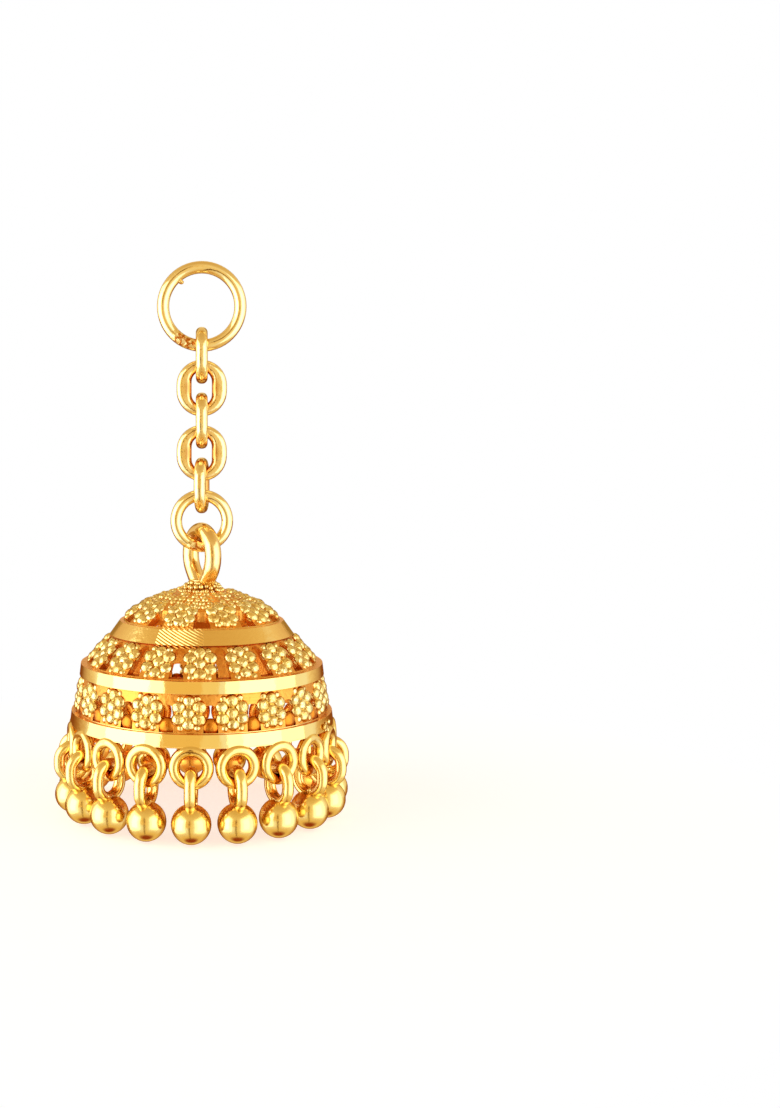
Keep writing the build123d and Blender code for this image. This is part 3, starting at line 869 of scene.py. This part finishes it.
bead_cluster = bead_cluster_tree()
grow("window_bosses", bead_cluster, {
    "Copies": 19, "First Turn": math.radians(3.8), "Beads": 1,
    "Place": (0, -8.5 * MM, -29.95 * MM), "Spread": (0.0, 0.0, 0.0),
    "Shape": (1.25 * MM, 0.72 * MM, 1.3 * MM), "Unevenness": 0.04, "Seed": 2,
    "Material": unbuffed_gold()}, "bell")


# ---------------------------------------------------------------------------------------------
# The solder: a gold alloy that melts sooner, left as rough beads at the necks of the drops and as
# a knot on the lowest band. At the top ring's joint it stands up as a little burr.

solder_heaps = {
    "neck_solder": {"Copies": 19, "First Turn": math.radians(-4.3), "Beads": 8,
                    "Place": (0, -9.1 * MM, -34.78 * MM), "Spread": (0.26 * MM, 0.5 * MM, 0.1 * MM),
                    "Shape": (0.34 * MM, 0.3 * MM, 0.24 * MM), "Seed": 12},
    "band_knot": {"Copies": 1, "First Turn": math.radians(66), "Beads": 9,
                  "Place": (0, -9.3 * MM, -30.85 * MM), "Spread": (0.55 * MM, 0.04 * MM, 0.3 * MM),
                  "Shape": (0.42 * MM, 0.2 * MM, 0.36 * MM), "Seed": 13},
}
for name, values in solder_heaps.items():
    grow(name, bead_cluster, {**values, "Unevenness": 0.3, "Material": grain_gold},
         "bell")

# The burr sits on the inner side of the ring's wire, this far in from the ring's outer edge.
BURR_DEPTH = 0.9 * MM
low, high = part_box("top_ring")
burr_reach = (high.x - low.x) / 2 - BURR_DEPTH
burr = (burr_reach * math.cos(TOP_RING_JOINT), 0,
        (low.z + high.z) / 2 + burr_reach * math.sin(TOP_RING_JOINT))
grow("ring_burr", bead_cluster, {
    "Copies": 1, "First Turn": 0.0, "Beads": 4, "Place": burr,
    "Spread": (0.09 * MM, 0.08 * MM, 0.07 * MM), "Shape": (0.3 * MM, 0.26 * MM, 0.24 * MM),
    "Unevenness": 0.2, "Seed": 14, "Material": grain_gold}, "chain")


# ---------------------------------------------------------------------------------------------
# The drops: hollow gold balls burnished bright, each soldered to a wire eye that hangs in one of
# the rim rings.

def ball_gold():
    """Burnished hollow balls on drawn wire eyes: a bright finish with faint handling marks, rouge
    and painted shade where the wire enters the ball, and painted shade on the side towards the
    bell's middle."""
    material, tree, shader = gold("burnished_gold_balls")
    place = add(tree, "ShaderNodeTexCoord").outputs["Object"]
    in_mm = add(tree, "ShaderNodeVectorMath", {0: place, "Scale": 1 / MM},
                operation="SCALE").outputs[0]

    # Handling marks are about 0.1 mm across. The thin shell's dents are about 1 mm across.
    marks = add(tree, "ShaderNodeTexNoise",
                {"Vector": in_mm, "Scale": 10.0, "Detail": 4.0}).outputs["Fac"]
    rough = add(tree, "ShaderNodeMapRange", {"Value": marks, "To Min": 0.1, "To Max": 0.28})
    tree.links.new(rough.outputs[0], shader.inputs["Roughness"])
    dents = add(tree, "ShaderNodeTexNoise",
                {"Vector": in_mm, "Scale": 0.9, "Detail": 1.0}).outputs["Fac"]
    bump = add(tree, "ShaderNodeBump", {"Strength": 0.5, "Distance": 0.05 * MM, "Height": dents})
    tree.links.new(bump.outputs[0], shader.inputs["Normal"])

    # Colour: bright, rouge and painted shade in the corners, painted shade on the side towards the
    # bell's middle.
    open_air = add(tree, "ShaderNodeAmbientOcclusion", {"Distance": 0.4 * MM},
                   samples=6).outputs["AO"]
    corner = add(tree, "ShaderNodeMapRange", {"Value": open_air, "From Min": 0.7, "From Max": 0.2})
    colour = add(tree, "ShaderNodeMix", {0: corner.outputs[0], 6: linear(GOLD), 7: linear(ROUGE)},
                 data_type="RGBA")
    flat = add(tree, "ShaderNodeVectorMath", {0: in_mm, 1: (1, 1, 0)},
               operation="MULTIPLY").outputs[0]
    outwards = add(tree, "ShaderNodeVectorMath", {0: flat}, operation="NORMALIZE").outputs[0]
    skin = add(tree, "ShaderNodeTexCoord").outputs["Normal"]
    facing = add(tree, "ShaderNodeVectorMath", {0: skin, 1: outwards},
                 operation="DOT_PRODUCT").outputs["Value"]
    # The side towards the bell's middle is darker: painted shade.
    inside = add(tree, "ShaderNodeMapRange",
                 {"Value": facing, "From Min": -0.2, "From Max": -0.7}).outputs[0]
    worn = add(tree, "ShaderNodeMix", {0: inside, 6: colour.outputs[2], 7: linear(PICKLED_INSIDE)},
               data_type="RGBA")
    tree.links.new(worn.outputs[2], shader.inputs["Base Color"])
    return material


drop_gold = ball_gold()
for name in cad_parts:
    if name.startswith("drop_"):
        paint(name, drop_gold)
